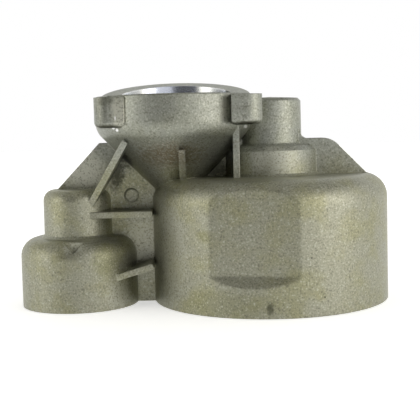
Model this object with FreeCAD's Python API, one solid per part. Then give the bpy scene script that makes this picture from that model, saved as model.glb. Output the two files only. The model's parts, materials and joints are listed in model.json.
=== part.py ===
import FreeCAD, Part
import math
import os

V = FreeCAD.Vector

# Die cast gear case with a round drum, a bearing tower, a stepped side boss,
# and a funnel that carries the motor.  Millimetres.  The origin is on the drum
# axis in the plane of the open base; +Z is up, -Y is the ribbed front.

# ---- walls and die practice --------------------------------------------------
wall = 3.5                # general wall
draft = 0.15              # draft of the outer faces, degrees
rib_t = 3.1               # thickness of every rib
overlap = 1.0             # how far a rib or boss runs into what carries it
rib_round = 1.0           # round of a rib's free ends
foot_lean = 0.2           # a boss is this much wider at its foot
core_lean = 0.3           # a hollow is this much narrower at its roof
core_bevel = 0.6          # bevel where a hollow meets its roof

# ---- drum --------------------------------------------------------------------
drum_r = 59.2             # outer radius at the base
drum_h = 62.0
drum_round = 11.5         # round of the upper edge
flat_dist = 55.3          # drum axis to the flat on the front
flat_turn = 11.0          # the flat faces this far left of the front, degrees
flat_z = 17.9             # lower end of the flat
flat_ramp = 45.0          # slope that runs out of the flat, degrees
register_h = 10.0         # full round inside the mouth, below the inner flat

# ---- step and tower above the drum -------------------------------------------
tower_x = 0.8             # axis of step and tower, beside the drum axis
step_r = 23.7
step_h = 76.6
step_bevel = 2.3
tower_r = 15.9
tower_h = 100.9
tower_crown = 0.9         # fall of the crowned top from centre to edge
tower_bevel = 1.4
foot_bevel = 1.3          # hollow bevel where a boss meets its floor
bearing_r = 11.0          # bearing seat in the tower
bearing_top = tower_h - 4.2

# ---- web that joins all the bosses -------------------------------------------
web_front = -8.0
web_t = 4.0
web_left_top_x = -84.5
web_left_top_z = 80.0
web_left_x = -107.0
web_left_z = 56.5
web_right_z = 79.9
web_right_x = 31.0
web_right_foot_x = 49.5
web_crest_round = 11.0
web_tower_round = 3.5

# ---- stepped side boss -------------------------------------------------------
side_x = -96.4
side_y = -7.0
side_r = 28.9
side_h = 34.0
side_round = 9.0
side_roof = 7.5           # roof over the lower side boss, thick under the notch
upper_r = 16.8
upper_h = 57.5
upper_round = 5.4
seat_r = 11.0             # bearing seat in the upper boss
seat_len = 18.0

# ---- V notch in the shoulder of the side boss --------------------------------
notch_x = -95.5
notch_half_w = 5.4
notch_deep = 5.8
notch_back = 6.0         # front of the boss to the closed end of the notch

# ---- funnel and its flange ---------------------------------------------------
funnel_x = -47.2
funnel_y = -4.0
flange_r = 38.9
flange_low = 85.7         # the skirt ends here and the cone begins
flange_top = 102.6
flange_round = 10.5
cone_slope = 0.97         # radius per height
throat_r = 10.6
throat_low = 46.0
mouth_x = -46.0           # axis of the motor bore
mouth_r = 28.2
mouth_floor = 84.5
mouth_ledge = 1.2         # ledge that the motor's pilot stands on
skirt_lean = 0.1
rim_bevel = 0.6
collar_r = 37.3

collar_rise = 11.9        # the rear half of the rim climbs at this angle, degrees
shaft_r = 7.0

# ---- motor lugs --------------------------------------------------------------
lug_mid_x = -44.0         # middle between the lugs
lug_dx = 32.7
lug_dy = -26.0
lug_r = 7.0
lug_low = 87.4
lug_top = 101.7
lug_flat = 7.7            # length of the flat front beside the round end
lug_edge = 2.6
lug_waist = 9.0           # the outer side leans in by this much at the flange
lug_hole_r = 2.1
lug_hole_deep = 11.0

# ---- ribs on the web ---------------------------------------------------------
cross_rib_z = 45.2
cross_rib_out = 14.0
cross_rib_x = -89.8
low_rib_z0 = 14.4
low_rib_z1 = 20.4
low_rib_out = 19.5
low_rib_x = -79.0
stay_top_x = -69.4
stay_top_z = 80.8
stay_top_out = 24.0
stay_low_x = -88.4
stay_low_z = 50.0
stay_low_out = 13.5
fin_x = -42.7
fin_top_y = -35.8
fin_top_z = 76.2
fin_low_y = -24.5
fin_low_z = 60.5
post_x = -16.9
post_front = -26.0
post_back = -12.0
post_bite = 3.0           # runs this far up into the funnel

# ---- ejector pin marks -------------------------------------------------------
pin_r = 3.5
pin_deep = 0.6
pin_x = -69.2
pin_z = 53.6


def corner_arc(before, corner, after, radius):
    """Tangent points and middle of the arc that rounds one corner."""
    a = (before - corner).normalize()
    b = (after - corner).normalize()
    half = a.getAngle(b) / 2
    reach = radius / math.tan(half)
    bisector = (a + b).normalize()
    middle = corner + bisector * (radius / math.sin(half) - radius)
    return corner + a * reach, middle, corner + b * reach


def rounded_wire(points):
    """Closed wire through (position, size) pairs: size > 0 rounds the corner, size < 0 chamfers it."""
    count = len(points)
    edges = []
    marks = []
    for i, (corner, size) in enumerate(points):
        before = points[i - 1][0]
        after = points[(i + 1) % count][0]
        if size > 0:
            start, middle, end = corner_arc(before, corner, after, size)
            edges.append(Part.Arc(start, middle, end).toShape())
        else:
            start = corner - (before - corner).normalize() * size
            end = corner - (after - corner).normalize() * size
            if size < 0:
                edges.append(Part.makeLine(start, end))
        marks.append((start, end))
    for i in range(count):
        start = marks[i][1]
        end = marks[(i + 1) % count][0]
        if start.distanceToPoint(end) > 1e-6:
            edges.append(Part.makeLine(start, end))
    return Part.Wire(Part.__sortEdges__(edges))


def turned(x, y, profile):
    """Solid of revolution about the vertical through (x, y)."""
    wire = rounded_wire([(V(r, 0, z), radius) for r, z, radius in profile])
    solid = Part.Face(wire).revolve(V(0, 0, 0), V(0, 0, 1), 360)
    solid.translate(V(x, y, 0))
    return solid


def upright(profile, front, back):
    """Prism over an XZ outline, from y = front to y = back."""
    wire = rounded_wire([(V(x, front, z), radius) for x, z, radius in profile])
    return Part.Face(wire).extrude(V(0, back - front, 0))


def bar(x0, z0, x1, z1, front, back):
    """Rib of the common thickness whose middle line runs between two points."""
    run = V(x1 - x0, 0, z1 - z0)
    across = V(-run.z, 0, run.x).normalize() * (rib_t / 2)
    ends = [V(x0, front, z0) - across, V(x1, front, z1) - across]
    ends += [V(x1, front, z1) + across, V(x0, front, z0) + across]
    wire = rounded_wire([(end, rib_round) for end in ends])
    return Part.Face(wire).extrude(V(0, back - front, 0))


def tapered(radius, height):
    """Radius that the draft leaves at a height above the base."""
    return radius - height * math.tan(math.radians(draft))


def drum():
    """Drum with the flat on its front."""
    body = turned(0, 0, [
        (0, 0, 0),
        (drum_r, 0, 0),
        (tapered(drum_r, drum_h), drum_h, drum_round),
        (0, drum_h, 0),
    ])
    half = drum_r
    run_out = (drum_r - flat_dist + overlap) / math.tan(math.radians(flat_ramp))
    cutter = Part.Face(Part.makePolygon([
        V(-half, -flat_dist, flat_z),
        V(-half, -flat_dist, drum_h + overlap),
        V(-half, -drum_r - overlap, drum_h + overlap),
        V(-half, -drum_r - overlap, flat_z - run_out),
        V(-half, -flat_dist, flat_z),
    ])).extrude(V(2 * half, 0, 0))
    cutter.rotate(V(0, 0, 0), V(0, 0, 1), -flat_turn)
    return body.cut(cutter)


def tower():
    """Step and tower, with a hollow round at each foot."""
    inside = drum_h - wall
    return turned(tower_x, 0, [
        (0, inside, 0),
        (step_r + 2 * foot_bevel, inside, 0),
        (step_r + 2 * foot_bevel, drum_h, 0),
        (step_r + foot_lean, drum_h, -foot_bevel),
        (step_r, step_h, -step_bevel),
        (tower_r + foot_lean, step_h, -foot_bevel),
        (tower_r, tower_h - tower_crown, -tower_bevel),
        (0, tower_h, 0),
    ])


def drum_hollow():
    """Space inside the drum, with the wall kept behind the flat."""
    inner = drum_r - wall
    space = turned(0, 0, [
        (0, -overlap, 0),
        (inner, -overlap, 0),
        (inner, register_h, 0),
        (tapered(inner, drum_h), drum_h - wall, wall - drum_round),
        (0, drum_h - wall, 0),
    ])
    keep = Part.makeBox(2 * drum_r, drum_r, drum_h, V(-drum_r, wall - flat_dist - drum_r, register_h))
    keep.rotate(V(0, 0, 0), V(0, 0, 1), -flat_turn)
    return space.cut(keep)


def tower_hollow():
    """Space in the step and bearing seat in the tower."""
    return turned(tower_x, 0, [
        (0, drum_h - wall - overlap, 0),
        (step_r - wall, drum_h - wall - overlap, 0),
        (step_r - wall - core_lean, step_h - wall, 0),
        (bearing_r, step_h - wall, 0),
        (bearing_r, bearing_top, -core_bevel),
        (0, bearing_top, 0),
    ])


def web():
    """Upright web with sloped shoulders and a soft crest beside the tower."""
    left = upright([
        (0, 0, 0),
        (side_x, 0, 0),
        (side_x, web_left_z - web_t, 0),
        (web_left_x, web_left_z, 0),
        (web_left_top_x, web_left_top_z, 0),
        (0, web_left_top_z, 0),
    ], web_front, web_front + web_t)
    right = upright([
        (0, drum_h - wall, 0),
        (web_right_foot_x, drum_h - wall, 0),
        (web_right_foot_x, drum_h - overlap, 0),
        (web_right_x, web_right_z, web_crest_round),
        (tower_x + tower_r - overlap, web_right_z, web_tower_round),
        (tower_x + tower_r - overlap, web_right_z + web_tower_round + overlap, 0),
        (0, web_right_z + web_tower_round + overlap, 0),
    ], web_front, web_front + web_t)
    return [left, right]


def side_boss():
    """Stepped boss at the left end."""
    return turned(side_x, side_y, [
        (0, 0, 0),
        (side_r, 0, 0),
        (tapered(side_r, side_h), side_h, side_round),
        (upper_r + foot_lean, side_h, -foot_bevel),
        (upper_r, upper_h, upper_round),
        (0, upper_h, 0),
    ])


def side_hollow():
    """Space and bearing seat inside the stepped boss."""
    return turned(side_x, side_y, [
        (0, -overlap, 0),
        (side_r - wall, -overlap, 0),
        (side_r - wall - core_lean, side_h - side_roof, wall - side_round),
        (seat_r, side_h - side_roof, -core_bevel),
        (seat_r, side_h - side_roof + seat_len, -core_bevel),
        (0, side_h - side_roof + seat_len, 0),
    ])


def notch():
    """V notch in the rounded shoulder of the side boss."""
    front = side_y - side_r - overlap
    top = side_h + overlap
    rise = overlap * notch_half_w / notch_deep
    outline = [(notch_x, side_h - notch_deep), (notch_x + notch_half_w + rise, top)]
    outline += [(notch_x - notch_half_w - rise, top)]
    ring = [V(x, front, z) for x, z in outline]
    return Part.Face(Part.makePolygon(ring + ring[:1])).extrude(V(0, notch_back + overlap, 0))


def funnel():
    """Flange skirt, cone and throat."""
    throat_z = flange_low - (flange_r - throat_r) / cone_slope
    return turned(funnel_x, funnel_y, [
        (0, throat_low, 0),
        (throat_r, throat_low, 0),
        (throat_r, throat_z, -foot_bevel),
        (flange_r, flange_low, flange_round),
        (flange_r - skirt_lean, flange_top, -rim_bevel),
        (0, flange_top, 0),
    ])


def collar():
    """Rear half of the rim, which climbs to the back."""
    rise = math.radians(collar_rise)
    height = collar_r * math.tan(rise)
    post = Part.makeCylinder(collar_r, height + wall, V(mouth_x, funnel_y, flange_top - wall))
    reach = 2 * collar_r
    side = [V(mouth_x - reach, funnel_y - reach, flange_top)]
    side += [V(mouth_x - reach, funnel_y, flange_top)]
    side += [V(mouth_x - reach, funnel_y + reach, flange_top + reach * math.tan(rise))]
    side += [V(mouth_x - reach, funnel_y + reach, flange_top + reach)]
    side += [V(mouth_x - reach, funnel_y - reach, flange_top + reach)]
    above = Part.Face(Part.makePolygon(side + side[:1])).extrude(V(2 * reach, 0, 0))
    front = Part.makeBox(2 * reach, reach, reach, V(mouth_x - reach, funnel_y - reach, flange_top))
    return post.cut(above).cut(front)


def funnel_hollow():
    """Motor bore, inner cone and shaft hole."""
    cone_low = mouth_floor - (mouth_r - mouth_ledge - shaft_r) / cone_slope
    return turned(mouth_x, funnel_y, [
        (0, throat_low - overlap, 0),
        (shaft_r, throat_low - overlap, 0),
        (shaft_r, cone_low, 0),
        (mouth_r - mouth_ledge, mouth_floor, 0),
        (mouth_r, mouth_floor, 0),
        (mouth_r, flange_top + collar_r, 0),
        (0, flange_top + collar_r, 0),
    ])


def lug(side):
    """Motor lug: a round end outside, a flat front towards the middle."""
    x = lug_mid_x + side * lug_dx
    y = funnel_y + lug_dy
    inner = x - side * lug_flat
    back = funnel_y
    start = V(inner, y - lug_r, lug_low)
    end = V(x, y - lug_r, lug_low)
    far = V(x + side * lug_r, y, lug_low)
    shoulder = V(x + side * lug_r * math.sin(math.pi / 4), y - lug_r * math.cos(math.pi / 4), lug_low)
    corner = V(x + side * lug_r - side * lug_waist, back, lug_low)
    edges = [Part.makeLine(start, end), Part.Arc(end, shoulder, far).toShape()]
    edges += [Part.makeLine(far, corner), Part.makeLine(corner, V(inner, back, lug_low))]
    edges += [Part.makeLine(V(inner, back, lug_low), start)]
    block = Part.Face(Part.Wire(edges)).extrude(V(0, 0, lug_top - lug_low))
    soft = [e for e in block.Edges if abs(e.BoundBox.ZMax - lug_low) < 1e-6 and e.BoundBox.YMin < y]
    return block.makeFillet(lug_edge, soft)


def lug_hole(side):
    """Blind screw hole of one lug."""
    spot = V(lug_mid_x + side * lug_dx, funnel_y + lug_dy, lug_top - lug_hole_deep)
    return Part.makeCylinder(lug_hole_r, lug_hole_deep + overlap, spot)


def stays():
    """Slanted stay on each face of the web, deep at the funnel and shallow at the side boss."""
    middle = web_front + web_t / 2
    deep = web_t / 2 + stay_top_out
    whole = bar(stay_top_x, stay_top_z, stay_low_x, stay_low_z, middle - deep, middle + deep)
    shallow = web_t / 2 + stay_low_out
    slope = (stay_top_out - stay_low_out) / (stay_top_z - stay_low_z)
    reach = 5.0
    span = 2 * (stay_top_x - stay_low_x) + 4 * reach
    outline = [V(stay_low_x - reach, middle - shallow + slope * reach, stay_low_z - reach)]
    outline += [V(stay_low_x - reach, middle - deep - slope * reach, stay_top_z + reach)]
    outline += [V(stay_low_x - reach, middle + deep + slope * reach, stay_top_z + reach)]
    outline += [V(stay_low_x - reach, middle + shallow - slope * reach, stay_low_z - reach)]
    keep = Part.Face(Part.makePolygon(outline + outline[:1])).extrude(V(span, 0, 0))
    return [whole.common(keep)]


def ribs():
    """Ribs on both faces of the web, and those around the funnel."""
    drum_side = -drum_r + overlap
    front_face = web_front + overlap
    back_face = web_front + web_t - overlap
    pieces = []
    cross = (cross_rib_x, cross_rib_z, drum_side, cross_rib_z, cross_rib_out)
    low = (low_rib_x, low_rib_z0, drum_side, low_rib_z1, low_rib_out)
    for x0, z0, x1, z1, out in (cross, low):
        pieces.append(bar(x0, z0, x1, z1, web_front - out, front_face))
        pieces.append(bar(x0, z0, x1, z1, back_face, web_front + web_t + out))
    pieces += stays()
    outline = [V(fin_x - rib_t / 2, fin_top_y, fin_top_z), V(fin_x - rib_t / 2, fin_low_y, fin_low_z)]
    outline += [V(fin_x - rib_t / 2, web_front + overlap, fin_low_z)]
    outline += [V(fin_x - rib_t / 2, web_front + overlap, fin_top_z)]
    pieces.append(Part.Face(Part.makePolygon(outline + outline[:1])).extrude(V(rib_t, 0, 0)))
    post_z = drum_h - overlap
    post_size = (rib_t, post_back - post_front, flange_low + post_bite - post_z)
    pieces.append(Part.makeBox(*post_size, V(post_x - rib_t / 2, post_front, post_z)))
    return pieces


def pin_mark(x, z, face_y, inward):
    """Shallow round mark of one ejector pin on the web."""
    return Part.makeCylinder(pin_r, pin_deep + overlap, V(x, face_y - inward * overlap, z), V(0, inward, 0))


def housing():
    """The whole casting."""
    body = drum().multiFuse(web() + [tower(), side_boss(), funnel(), collar(), lug(-1), lug(1)] + ribs())
    cuts = [drum_hollow(), tower_hollow(), side_hollow(), funnel_hollow(), lug_hole(-1), lug_hole(1), notch()]
    cuts.append(pin_mark(pin_x, pin_z, web_front, 1))
    body = body.cut(cuts)
    solid = body.removeSplitter()
    return solid.Solids[0] if len(solid.Solids) == 1 else solid


def main():
    os.makedirs("parts", exist_ok=True)
    shape = housing()
    shape.exportStep("parts/housing.step")
    box = shape.BoundBox
    print("valid", shape.isValid(), "solids", len(shape.Solids), "volume cm3", round(shape.Volume / 1000, 1))
    print("box", [round(v, 1) for v in (box.XMin, box.YMin, box.ZMin, box.XMax, box.YMax, box.ZMax)])


main()
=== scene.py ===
import json
import logging
import math
from dataclasses import dataclass, field
from enum import Enum

import bpy
from mathutils import Matrix, Vector

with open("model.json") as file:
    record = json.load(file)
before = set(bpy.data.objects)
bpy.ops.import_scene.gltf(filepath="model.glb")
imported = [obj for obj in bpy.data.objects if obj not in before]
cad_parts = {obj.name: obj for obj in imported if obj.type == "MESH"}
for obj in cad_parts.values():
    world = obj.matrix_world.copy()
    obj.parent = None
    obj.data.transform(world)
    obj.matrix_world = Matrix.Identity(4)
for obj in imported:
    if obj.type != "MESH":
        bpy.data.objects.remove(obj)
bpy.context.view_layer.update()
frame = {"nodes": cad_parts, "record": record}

log = logging.getLogger("scene")

MM = 0.001

Triple = tuple[float, float, float]
Input = float | tuple[float, ...] | bpy.types.NodeSocket

# Where a smooth change starts and ends, and its value at the start and at the end.
Ramp = tuple[float, float, float, float]

SMOOTH = {"interpolation_type": "SMOOTHSTEP"}
COLOURS = {"data_type": "RGBA"}
MULTIPLY = {"operation": "MULTIPLY"}
MULTIPLY_ADD = {"operation": "MULTIPLY_ADD"}
MAXIMUM = {"operation": "MAXIMUM"}
SUBTRACT = {"operation": "SUBTRACT"}
DIVIDE = {"operation": "DIVIDE"}
SCALE = {"operation": "SCALE"}
LENGTH = {"operation": "LENGTH"}
DISTANCE = {"operation": "DISTANCE"}
DOT_PRODUCT = {"operation": "DOT_PRODUCT"}


def linear(hex_colour: str) -> tuple[float, float, float, float]:
    """Turn an sRGB hex colour into linear light.

    Args:
        hex_colour: Six hex digits after a hash sign.

    Returns:
        Red, green, blue and an alpha of one.
    """
    digits = hex_colour.lstrip("#")
    channels = [int(digits[i:i + 2], 16) / 255 for i in (0, 2, 4)]
    red, green, blue = (c / 12.92 if c <= 0.04045 else ((c + 0.055) / 1.055) ** 2.4 for c in channels)
    return red, green, blue, 1.0


def empty_tree(owner: bpy.types.Material | bpy.types.World) -> bpy.types.NodeTree:
    """Give a material or world an empty node tree.

    Args:
        owner: What holds the tree.

    Returns:
        The tree.
    """
    owner.use_nodes = True
    owner.node_tree.nodes.clear()
    return owner.node_tree


def add_node(
    tree: bpy.types.NodeTree, kind: str, settings: dict[str, object], *values: Input, **named: Input
) -> bpy.types.Node:
    """Add one node with its settings and links.

    Args:
        tree: Where the node goes.
        kind: The node's type without its ShaderNode prefix.
        settings: Properties of the node itself.
        values: Values or sockets for its first inputs, in their order.
        named: Values or sockets by input name, with an underscore for a space.

    Returns:
        The new node.
    """
    node = tree.nodes.new("ShaderNode" + kind)
    for name, setting in settings.items():
        setattr(node, name, setting)
    inputs = dict(enumerate(values)) | {name.replace("_", " "): value for name, value in named.items()}
    for key, value in inputs.items():
        if isinstance(value, bpy.types.NodeSocket):
            tree.links.new(value, node.inputs[key])
        else:
            node.inputs[key].default_value = value
    return node


@dataclass(frozen=True)
class BlastedCasting:
    """Die cast aluminium alloy, shot blasted after the flash was trimmed."""

    # The shot leaves a dull skin. The eye gets no mirror image, only a soft change of tone as
    # the form turns, and fine light and dark specks. It is tinted olive in patches, and the
    # upper parts are a little cooler.
    base: str = "#9B9B8A"
    olive: str = "#98977A"
    cool: str = "#989C98"
    dark_speck: str = "#6A695B"
    light_speck: str = "#C9C9BC"
    metallic: float = 0.8
    roughness: float = 0.46
    # Real blasting dimples are about 0.3 mm across, too fine to show, so they are drawn coarser.
    grain_mm: float = 0.85
    grain_octaves: float = 2.0
    grain_fineness: float = 0.6
    blotch_mm: float = 16.0
    blotch_octaves: float = 3.0
    blotch_fineness: float = 0.55
    ragged_mm: float = 1.6
    ragged_octaves: float = 4.0
    ragged_fineness: float = 0.55
    bump: float = 0.5
    dimple_mm: float = 0.14
    olive_patches: Ramp = (0.40, 0.70, 0.0, 1.0)
    dark_specks: Ramp = (0.48, 0.30, 0.0, 0.7)
    light_specks: Ramp = (0.54, 0.74, 0.0, 0.6)
    cool_above_mm: Ramp = (56.0, 80.0, 0.0, 0.6)


@dataclass(frozen=True)
class TurnedBore:
    """The same alloy where the motor bore was turned."""

    # The cutting edge leaves a bright wall that is nearly smooth, so it shows the surround as upright bands.
    # Its middle is painted blue-grey as a painted reflection, and its two ends are painted darker as painted
    # shade.
    bright: str = "#E2E4E2"
    painted_reflection: str = "#D0D5E2"
    painted_end_shade: str = "#53544A"
    roughness: float = 0.24
    bump: float = 0.03
    mount: str = "motor_bore"
    full_beyond_wall_mm: float = 0.1
    gone_beyond_wall_mm: float = 0.4
    above_floor_mm: Ramp = (84.1, 84.3, 0.0, 1.0)
    reflection_from_mm: Ramp = (-64.0, -61.0, 0.0, 1.0)
    reflection_to_mm: Ramp = (-37.5, -34.5, 1.0, 0.0)
    end_shade_left_mm: Ramp = (-73.8, -72.8, 1.0, 0.0)
    end_shade_right_mm: Ramp = (-21.2, -20.0, 0.0, 1.0)


@dataclass(frozen=True)
class SoftEdges:
    """How far the blasting has rounded the edges: wide round the drum's flat, narrow elsewhere."""

    narrow_mm: float = 0.7
    wide_mm: float = 3.2
    drum_front_mm: Ramp = (-48.0, -44.0, 1.0, 0.0)
    above_base_mm: Ramp = (12.0, 16.0, 0.0, 1.0)
    samples: int = 8


@dataclass(frozen=True)
class PinShade:
    """Painted shade in a ring round the ejector pin mark, strongest on its upper left."""

    place_mm: Triple = (-69.2, -8.0, 53.6)
    across: Triple = (1.0, 0.0, 1.0)
    inner_mm: Ramp = (2.4, 3.1, 0.0, 1.0)
    outer_mm: Ramp = (3.6, 4.0, 1.0, 0.0)
    upper_left: Triple = (-0.6, 0.0, 0.8)
    strength: Ramp = (-3.5, 3.5, 0.25, 0.9)
    behind_mm: Ramp = (1.0, 1.5, 1.0, 0.0)


class Kind(Enum):
    """What a mark on the casting is, and its colour. Some are real tints and dirt, and some are painted
    light, shade and highlights.
    """

    # Real smudges on some marks, painted shade on others.
    SMUDGE_AND_SHADE = "#4E4E40"
    # Real dirt on some marks, painted shade on others.
    DIRT_AND_DEEP_SHADE = "#23231C"
    # A painted highlight.
    GLINT = "#FFFFFF"
    OLIVE = "#7C7C50"
    BROWN = "#6F634B"
    # Painted light.
    PAINTED_LIGHT = "#C4C4B6"


# These tints and painted light colour the metal under its specks. The other kinds, real dirt, painted shade
# and painted highlights, lie on top and hide them.
TINTS_AND_PAINTED_LIGHT = (Kind.OLIVE, Kind.BROWN, Kind.PAINTED_LIGHT)


@dataclass(frozen=True)
class Mark:
    """One mark: where its middle is and how far it reaches, in millimetres, and how strong it is."""

    kind: Kind
    place: Triple
    reach: Triple
    strength: float


MARKS: tuple[Mark, ...] = (
    # Drum: the drip and specks on its front, its tints, painted light on its left side, and painted shade on
    # its top beside the step.
    Mark(Kind.SMUDGE_AND_SHADE, (-4.2, -59.0, 4.6), (2.0, 4.0, 3.6), 0.75),
    Mark(Kind.DIRT_AND_DEEP_SHADE, (20.8, -55.4, 8.8), (0.6, 2.0, 0.6), 0.7),
    Mark(Kind.DIRT_AND_DEEP_SHADE, (14.9, -57.3, 27.1), (0.6, 2.0, 0.6), 0.6),
    Mark(Kind.OLIVE, (-33.7, -48.7, 37.2), (5.0, 5.0, 3.2), 0.45),
    Mark(Kind.PAINTED_LIGHT, (-47.5, -34.0, 28.0), (11.0, 14.0, 26.0), 0.45),
    Mark(Kind.OLIVE, (-28.0, -52.0, 6.0), (40.0, 14.0, 8.0), 0.35),
    Mark(Kind.SMUDGE_AND_SHADE, (12.0, -30.0, 62.3), (6.0, 6.0, 0.8), 0.7),
    # Step above the drum, with painted light on its front.
    Mark(Kind.PAINTED_LIGHT, (1.0, -24.0, 70.0), (15.0, 8.0, 9.0), 0.45),
    # Left lug: painted light on its right half, a darker left half, a dark smudge on its top, painted shade
    # under it, and painted highlights on it and under it.
    Mark(Kind.PAINTED_LIGHT, (-71.4, -37.0, 94.5), (4.4, 4.0, 10.0), 0.95),
    Mark(Kind.SMUDGE_AND_SHADE, (-80.0, -36.0, 95.0), (4.0, 4.0, 8.0), 0.3),
    Mark(Kind.SMUDGE_AND_SHADE, (-78.0, -37.0, 100.0), (5.0, 3.0, 2.6), 0.5),
    Mark(Kind.SMUDGE_AND_SHADE, (-77.0, -34.0, 88.0), (8.0, 6.0, 1.5), 0.8),
    Mark(Kind.DIRT_AND_DEEP_SHADE, (-75.2, -34.0, 87.6), (2.6, 3.0, 1.0), 0.8),
    Mark(Kind.GLINT, (-73.1, -37.0, 91.9), (0.5, 2.0, 1.3), 0.9),
    Mark(Kind.GLINT, (-74.6, -31.0, 87.3), (1.1, 4.0, 0.8), 0.95),
    Mark(Kind.GLINT, (-72.9, -31.0, 86.3), (0.9, 4.0, 1.1), 0.95),
    # Right lug: painted light on the flange beside it, and painted shade and a painted highlight under it.
    Mark(Kind.PAINTED_LIGHT, (-22.5, -32.0, 95.0), (3.5, 4.0, 8.0), 0.6),
    Mark(Kind.SMUDGE_AND_SHADE, (-12.5, -34.0, 88.0), (8.0, 6.0, 1.5), 0.8),
    Mark(Kind.DIRT_AND_DEEP_SHADE, (-10.9, -34.0, 87.4), (1.2, 3.0, 0.8), 0.8),
    Mark(Kind.GLINT, (-12.2, -17.0, 86.5), (1.6, 6.0, 1.1), 0.95),
    # Cone, with a brown tinge.
    Mark(Kind.BROWN, (-48.0, -22.0, 76.0), (19.0, 20.0, 10.0), 0.85),
    # Web: painted light where it is open, and painted shade in the corners beside the stay and behind the
    # cone.
    Mark(Kind.PAINTED_LIGHT, (-92.0, -8.0, 66.0), (13.0, 2.0, 13.0), 0.85),
    Mark(Kind.PAINTED_LIGHT, (-64.0, -8.0, 30.0), (12.0, 4.0, 14.0), 0.5),
    Mark(Kind.DIRT_AND_DEEP_SHADE, (-71.0, -12.0, 72.5), (5.5, 9.5, 8.0), 0.8),
    Mark(Kind.DIRT_AND_DEEP_SHADE, (-75.5, -10.0, 65.5), (4.5, 6.0, 7.5), 0.7),
    Mark(Kind.SMUDGE_AND_SHADE, (-77.0, -12.0, 61.5), (5.0, 8.5, 8.0), 0.9),
    Mark(Kind.SMUDGE_AND_SHADE, (-84.0, -12.5, 53.5), (4.0, 7.0, 4.5), 0.7),
    Mark(Kind.DIRT_AND_DEEP_SHADE, (-27.5, -8.0, 66.5), (8.5, 3.0, 7.5), 0.75),
    # Painted shade above and below the cross rib and above the low rib.
    Mark(Kind.SMUDGE_AND_SHADE, (-74.0, -13.0, 47.0), (17.0, 9.0, 0.9), 0.75),
    Mark(Kind.SMUDGE_AND_SHADE, (-74.0, -15.0, 43.3), (17.0, 8.0, 0.6), 0.6),
    Mark(Kind.SMUDGE_AND_SHADE, (-66.0, -14.0, 20.2), (9.0, 9.0, 1.4), 0.6),
    # Lower side boss and its notch: an olive tint, and painted light.
    Mark(Kind.OLIVE, (-81.0, -31.0, 25.0), (8.0, 8.0, 10.0), 0.5),
    Mark(Kind.PAINTED_LIGHT, (-75.0, -26.0, 7.0), (9.0, 9.0, 11.0), 0.55),
    Mark(Kind.PAINTED_LIGHT, (-95.5, -33.0, 31.5), (5.5, 4.0, 3.6), 0.7),
)


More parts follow.
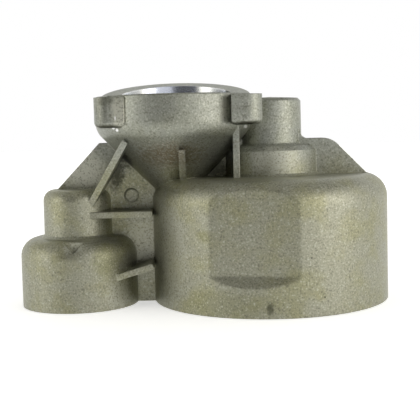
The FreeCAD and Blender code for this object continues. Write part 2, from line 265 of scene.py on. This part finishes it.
@dataclass(frozen=True)
class HousingSkin:
    """The casting's whole skin: blasted metal, the turned bore, soft edges and the marks on it, with painted
    light and shade among them.
    """

    casting: BlastedCasting = field(default_factory=BlastedCasting)
    bore: TurnedBore = field(default_factory=TurnedBore)
    edges: SoftEdges = field(default_factory=SoftEdges)
    pin: PinShade = field(default_factory=PinShade)
    marks: tuple[Mark, ...] = MARKS
    # A mark's distance is a share of its reach, with the raggedness added. The mark is full
    # where that is under its core, and gone where it is past its rim.
    core: float = 0.95
    rim: float = 1.65
    raggedness: float = 1.1

    def bore_mask(self, tree: bpy.types.NodeTree, place: bpy.types.NodeSocket) -> bpy.types.NodeSocket:
        """Find where the skin is turned.

        Args:
            tree: The material's tree.
            place: Place on the casting, millimetres.

        Returns:
            One inside the motor bore and zero elsewhere.
        """
        mount = next(mount for mount in frame["record"]["mounts"] if mount["name"] == self.bore.mount)
        axis = (mount["pos_m"][0] / MM, mount["pos_m"][1] / MM, 0.0)
        wall = mount["dims"]["r_mm"]
        edge = (wall + self.bore.full_beyond_wall_mm, wall + self.bore.gone_beyond_wall_mm, 1.0, 0.0)
        flat = add_node(tree, "VectorMath", MULTIPLY, place, (1.0, 1.0, 0.0)).outputs[0]
        away = add_node(tree, "VectorMath", DISTANCE, flat, axis).outputs["Value"]
        height = add_node(tree, "SeparateXYZ", {}, place).outputs["Z"]
        inside = add_node(tree, "MapRange", SMOOTH, away, *edge).outputs[0]
        above = add_node(tree, "MapRange", SMOOTH, height, *self.bore.above_floor_mm).outputs[0]
        return add_node(tree, "Math", MULTIPLY, inside, above).outputs[0]

    def bore_colour(self, tree: bpy.types.NodeTree, place: bpy.types.NodeSocket) -> bpy.types.NodeSocket:
        """Colour the turned bore: bright, with a painted reflection in the middle and painted shade at its
        ends.

        Args:
            tree: The material's tree.
            place: Place on the casting, millimetres.

        Returns:
            The colour.
        """
        bore = self.bore
        across = add_node(tree, "SeparateXYZ", {}, place).outputs["X"]
        start = add_node(tree, "MapRange", SMOOTH, across, *bore.reflection_from_mm).outputs[0]
        stop = add_node(tree, "MapRange", SMOOTH, across, *bore.reflection_to_mm).outputs[0]
        overlay = add_node(tree, "Math", MULTIPLY, start, stop).outputs[0]
        left = add_node(tree, "MapRange", SMOOTH, across, *bore.end_shade_left_mm).outputs[0]
        right = add_node(tree, "MapRange", SMOOTH, across, *bore.end_shade_right_mm).outputs[0]
        ends = add_node(tree, "Math", MAXIMUM, left, right).outputs[0]
        bright, painted_reflection, painted_end_shade = linear(bore.bright), linear(bore.painted_reflection), linear(bore.painted_end_shade)
        colour = add_node(tree, "Mix", COLOURS, overlay, A=bright, B=painted_reflection).outputs["Result"]
        return add_node(tree, "Mix", COLOURS, ends, A=colour, B=painted_end_shade).outputs["Result"]

    def pin_shade(self, tree: bpy.types.NodeTree, place: bpy.types.NodeSocket) -> bpy.types.NodeSocket:
        """Find the painted shade round the ejector pin mark.

        Args:
            tree: The material's tree.
            place: Place on the casting, millimetres.

        Returns:
            How dark the painted shade is.
        """
        pin = self.pin
        off = add_node(tree, "VectorMath", SUBTRACT, place, pin.place_mm).outputs[0]
        flat = add_node(tree, "VectorMath", MULTIPLY, off, pin.across).outputs[0]
        away = add_node(tree, "VectorMath", LENGTH, flat).outputs["Value"]
        lean = add_node(tree, "VectorMath", DOT_PRODUCT, flat, pin.upper_left).outputs["Value"]
        depth = add_node(tree, "SeparateXYZ", {}, off).outputs["Y"]
        inner = add_node(tree, "MapRange", SMOOTH, away, *pin.inner_mm).outputs[0]
        outer = add_node(tree, "MapRange", SMOOTH, away, *pin.outer_mm).outputs[0]
        line = add_node(tree, "Math", MULTIPLY, inner, outer).outputs[0]
        strength = add_node(tree, "MapRange", SMOOTH, lean, *pin.strength).outputs[0]
        front = add_node(tree, "MapRange", SMOOTH, depth, *pin.behind_mm).outputs[0]
        shaded = add_node(tree, "Math", MULTIPLY, line, strength).outputs[0]
        return add_node(tree, "Math", MULTIPLY, shaded, front).outputs[0]

    def edge_radius(self, tree: bpy.types.NodeTree, place: bpy.types.NodeSocket) -> bpy.types.NodeSocket:
        """Find how round the edges are.

        Args:
            tree: The material's tree.
            place: Place on the casting, millimetres.

        Returns:
            The radius in metres.
        """
        parts = add_node(tree, "SeparateXYZ", {}, place).outputs
        front = add_node(tree, "MapRange", SMOOTH, parts["Y"], *self.edges.drum_front_mm).outputs[0]
        above = add_node(tree, "MapRange", SMOOTH, parts["Z"], *self.edges.above_base_mm).outputs[0]
        wide = add_node(tree, "Math", MULTIPLY, front, above).outputs[0]
        ramp = (0.0, 1.0, self.edges.narrow_mm * MM, self.edges.wide_mm * MM)
        return add_node(tree, "MapRange", SMOOTH, wide, *ramp).outputs[0]

    def lay_marks(
        self,
        tree: bpy.types.NodeTree,
        place: bpy.types.NodeSocket,
        colour: bpy.types.NodeSocket,
        marks: list[Mark],
    ) -> bpy.types.NodeSocket:
        """Lay some of the marks over a colour as soft, ragged blots, real ones and painted light and shade
        alike.

        Args:
            tree: The material's tree.
            place: Place on the casting, millimetres.
            colour: The colour below.
            marks: The marks to lay, in their order.

        Returns:
            The colour with the marks on it.
        """
        casting = self.casting
        ragged = add_node(
            tree, "TexNoise", {},
            Vector=place, Scale=1 / casting.ragged_mm,
            Detail=casting.ragged_octaves, Roughness=casting.ragged_fineness,
        ).outputs[0]
        for mark in marks:
            off = add_node(tree, "VectorMath", SUBTRACT, place, mark.place).outputs[0]
            share = add_node(tree, "VectorMath", DIVIDE, off, mark.reach).outputs[0]
            away = add_node(tree, "VectorMath", LENGTH, share).outputs["Value"]
            rough = add_node(tree, "Math", MULTIPLY_ADD, ragged, self.raggedness, away).outputs[0]
            fade = (self.core, self.rim, mark.strength, 0.0)
            blot = add_node(tree, "MapRange", SMOOTH, rough, *fade).outputs[0]
            overlay = linear(mark.kind.value)
            colour = add_node(tree, "Mix", COLOURS, blot, A=colour, B=overlay).outputs["Result"]
        return colour

    def build(self) -> bpy.types.Material:
        """Make the material.

        Returns:
            The material.
        """
        casting = self.casting
        material = bpy.data.materials.new("shot_blasted_cast_aluminium")
        tree = empty_tree(material)
        metres = add_node(tree, "TexCoord", {}).outputs["Object"]
        place = add_node(tree, "VectorMath", SCALE, metres, Scale=1 / MM).outputs[0]
        height = add_node(tree, "SeparateXYZ", {}, place).outputs["Z"]
        grain = add_node(
            tree, "TexNoise", {},
            Vector=place, Scale=1 / casting.grain_mm,
            Detail=casting.grain_octaves, Roughness=casting.grain_fineness,
        ).outputs[0]
        blotch = add_node(
            tree, "TexNoise", {},
            Vector=place, Scale=1 / casting.blotch_mm,
            Detail=casting.blotch_octaves, Roughness=casting.blotch_fineness,
        ).outputs[0]

        olive = add_node(tree, "MapRange", SMOOTH, blotch, *casting.olive_patches).outputs[0]
        cool = add_node(tree, "MapRange", SMOOTH, height, *casting.cool_above_mm).outputs[0]
        dark = add_node(tree, "MapRange", SMOOTH, grain, *casting.dark_specks).outputs[0]
        light = add_node(tree, "MapRange", SMOOTH, grain, *casting.light_specks).outputs[0]
        base, olive_tint, cool_tint = linear(casting.base), linear(casting.olive), linear(casting.cool)
        dark_speck, light_speck = linear(casting.dark_speck), linear(casting.light_speck)
        colour = add_node(tree, "Mix", COLOURS, olive, A=base, B=olive_tint).outputs["Result"]
        colour = add_node(tree, "Mix", COLOURS, cool, A=colour, B=cool_tint).outputs["Result"]
        # Tints and painted light, under the specks.
        colour = self.lay_marks(tree, place, colour, [mark for mark in self.marks if mark.kind in TINTS_AND_PAINTED_LIGHT])
        colour = add_node(tree, "Mix", COLOURS, dark, A=colour, B=dark_speck).outputs["Result"]
        colour = add_node(tree, "Mix", COLOURS, light, A=colour, B=light_speck).outputs["Result"]
        # Real dirt, painted shade and painted highlights, over the specks.
        colour = self.lay_marks(tree, place, colour, [mark for mark in self.marks if mark.kind not in TINTS_AND_PAINTED_LIGHT])
        # Painted shade round the ejector pin mark.
        line, pin_shade_colour = self.pin_shade(tree, place), linear(Kind.SMUDGE_AND_SHADE.value)
        colour = add_node(tree, "Mix", COLOURS, line, A=colour, B=pin_shade_colour).outputs["Result"]
        # The turned bore, with a painted reflection in its middle and painted shade at its ends.
        bore = self.bore_mask(tree, place)
        turned = self.bore_colour(tree, place)
        colour = add_node(tree, "Mix", COLOURS, bore, A=colour, B=turned).outputs["Result"]

        polish = (0.0, 1.0, casting.roughness, self.bore.roughness)
        smoothing = (0.0, 1.0, casting.bump, self.bore.bump)
        roughness = add_node(tree, "MapRange", SMOOTH, bore, *polish).outputs[0]
        strength = add_node(tree, "MapRange", SMOOTH, bore, *smoothing).outputs[0]
        radius = self.edge_radius(tree, place)
        rounded = add_node(tree, "Bevel", {"samples": self.edges.samples}, Radius=radius).outputs[0]
        bump = add_node(
            tree, "Bump", {},
            Strength=strength, Distance=casting.dimple_mm * MM, Height=grain, Normal=rounded,
        ).outputs[0]
        metal = add_node(
            tree, "BsdfPrincipled", {},
            Base_Color=colour, Metallic=casting.metallic, Roughness=roughness, Normal=bump,
        ).outputs[0]
        add_node(tree, "OutputMaterial", {}, Surface=metal)
        return material


@dataclass(frozen=True)
class Housing:
    """The one casting, shown by its own solid."""

    node: str = "housing"
    slot: str = "cast_aluminium"
    skin: HousingSkin = field(default_factory=HousingSkin)

    def dress(self) -> None:
        """Give the casting its skin, shaded smooth over its rounds."""
        solid = frame["nodes"][self.node]
        solid.data.materials.clear()
        solid.data.materials.append(self.skin.build())
        for polygon in solid.data.polygons:
            polygon.use_smooth = True


@dataclass(frozen=True)
class Lamp:
    """One soft lamp: place, aim and size of its panel in metres, watts and colour."""

    name: str
    place: Triple
    aim: Triple
    size: tuple[float, float]
    power: float
    colour: str


@dataclass(frozen=True)
class Card:
    """One card that the casting reflects and the camera looks through: its corners in metres."""

    name: str
    colour: str
    corners: tuple[Triple, ...]


LAMPS: tuple[Lamp, ...] = (
    Lamp("right_panel", (0.70, -0.45, 0.25), (0.0, 0.0, 0.05), (0.5, 0.6), 2.0, "#FFF9EE"),
    Lamp("left_panel", (-0.85, -0.35, 0.25), (-0.06, 0.0, 0.05), (0.4, 0.6), 1.2, "#FFFBF0"),
)

CARDS: tuple[Card, ...] = (
    Card(
        "front_card", "#30302E",
        ((-1.1, -0.95, -0.02), (0.08, -0.95, -0.02), (0.08, -0.95, 1.0), (-1.1, -0.95, 1.0)),
    ),
    Card(
        "top_card", "#CACAC8",
        ((-1.0, -0.95, 1.0), (1.0, -0.95, 1.0), (1.0, 0.8, 1.0), (-1.0, 0.8, 1.0)),
    ),
)


@dataclass(frozen=True)
class Studio:
    """White floor and surround, soft lamps, dark and grey cards, and the camera."""

    floor_half: float = 3.0
    # The floor lies just below the casting's base, so that the two don't share a plane.
    floor_level: float = -0.0002
    floor_colour: str = "#EDEDEB"
    floor_glow: float = 0.55
    surround: float = 1.0
    white: str = "#FFFFFF"
    eye_mm: Triple = (-30.2, -456.5, 87.6)
    pitch: float = 5.4
    roll: float = 1.48
    lens_mm: float = 77.1
    frame_mm: float = 36.0
    nearest: float = 0.01

    def add_sheet(
        self, name: str, corners: tuple[Triple, ...], material: bpy.types.Material
    ) -> bpy.types.Object:
        """Add one four-cornered sheet that isn't part of the casting.

        Args:
            name: Its name.
            corners: Its corners in metres.
            material: Its material.

        Returns:
            The sheet.
        """
        mesh = bpy.data.meshes.new(name)
        mesh.from_pydata(list(corners), [], [(0, 1, 2, 3)])
        mesh.materials.append(material)
        sheet = bpy.data.objects.new(name, mesh)
        bpy.context.scene.collection.objects.link(sheet)
        return sheet

    def lay_floor(self) -> None:
        """Lay a floor of matt white paper: it keeps the casting's shadow, and glows where it is seen."""
        material = bpy.data.materials.new("white_paper")
        tree = empty_tree(material)
        matt = add_node(tree, "BsdfDiffuse", {}, Color=linear(self.floor_colour)).outputs[0]
        path = add_node(tree, "LightPath", {}).outputs
        seen = add_node(tree, "Math", MAXIMUM, path["Is Camera Ray"], path["Is Glossy Ray"]).outputs[0]
        seen = add_node(tree, "Math", MAXIMUM, seen, path["Is Transmission Ray"]).outputs[0]
        glow = add_node(tree, "Math", MULTIPLY, seen, self.floor_glow).outputs[0]
        white = add_node(tree, "Emission", {}, Color=linear(self.white), Strength=glow).outputs[0]
        both = add_node(tree, "AddShader", {}, matt, white).outputs[0]
        add_node(tree, "OutputMaterial", {}, Surface=both)
        half, level = self.floor_half, self.floor_level
        corners = ((-half, -half, level), (half, -half, level), (half, half, level), (-half, half, level))
        self.add_sheet("floor", corners, material)

    def hang_cards(self) -> None:
        """Hang the matt board cards, which give the metal something dark and something grey to reflect."""
        for card in CARDS:
            material = bpy.data.materials.new(card.name + "_board")
            tree = empty_tree(material)
            matt = add_node(tree, "BsdfDiffuse", {}, Color=linear(card.colour)).outputs[0]
            add_node(tree, "OutputMaterial", {}, Surface=matt)
            sheet = self.add_sheet(card.name, card.corners, material)
            sheet.visible_camera = False

    def set_world(self) -> None:
        """Surround the casting with even white, which also lights it."""
        world = bpy.data.worlds.new("studio")
        bpy.context.scene.world = world
        tree = empty_tree(world)
        light = add_node(tree, "Background", {}, Color=linear(self.white), Strength=self.surround).outputs[0]
        add_node(tree, "OutputWorld", {}, Surface=light)

    def hang_lamp(self, lamp: Lamp) -> None:
        """Hang one soft lamp.

        Args:
            lamp: What and where it is.
        """
        data = bpy.data.lights.new(lamp.name, "AREA")
        data.shape = "RECTANGLE"
        data.size, data.size_y = lamp.size
        data.energy = lamp.power
        data.color = linear(lamp.colour)[:3]
        hung = bpy.data.objects.new(lamp.name, data)
        hung.location = lamp.place
        hung.rotation_euler = (Vector(lamp.aim) - Vector(lamp.place)).to_track_quat("-Z", "Y").to_euler()
        bpy.context.scene.collection.objects.link(hung)

    def set_camera(self) -> None:
        """Set the camera in front of the casting and look slightly down on it."""
        data = bpy.data.cameras.new("camera")
        data.lens = self.lens_mm
        data.sensor_width = self.frame_mm
        data.clip_start = self.nearest
        camera = bpy.data.objects.new("camera", data)
        tilt = Matrix.Rotation(math.radians(90 - self.pitch), 4, "X")
        roll = Matrix.Rotation(math.radians(-self.roll), 4, "Z")
        camera.matrix_world = Matrix.Translation(Vector(self.eye_mm) * MM) @ tilt @ roll
        bpy.context.scene.collection.objects.link(camera)
        bpy.context.scene.camera = camera

    def build(self) -> None:
        """Set up the whole studio."""
        bpy.context.scene.view_settings.view_transform = "Standard"
        self.lay_floor()
        self.hang_cards()
        self.set_world()
        for lamp in LAMPS:
            self.hang_lamp(lamp)
        self.set_camera()


def main() -> None:
    """Dress the casting and light it."""
    logging.basicConfig(level=logging.INFO)
    Housing().dress()
    log.info("housing dressed")
    Studio().build()
    log.info("studio set up")


if __name__ == "__main__":
    main()
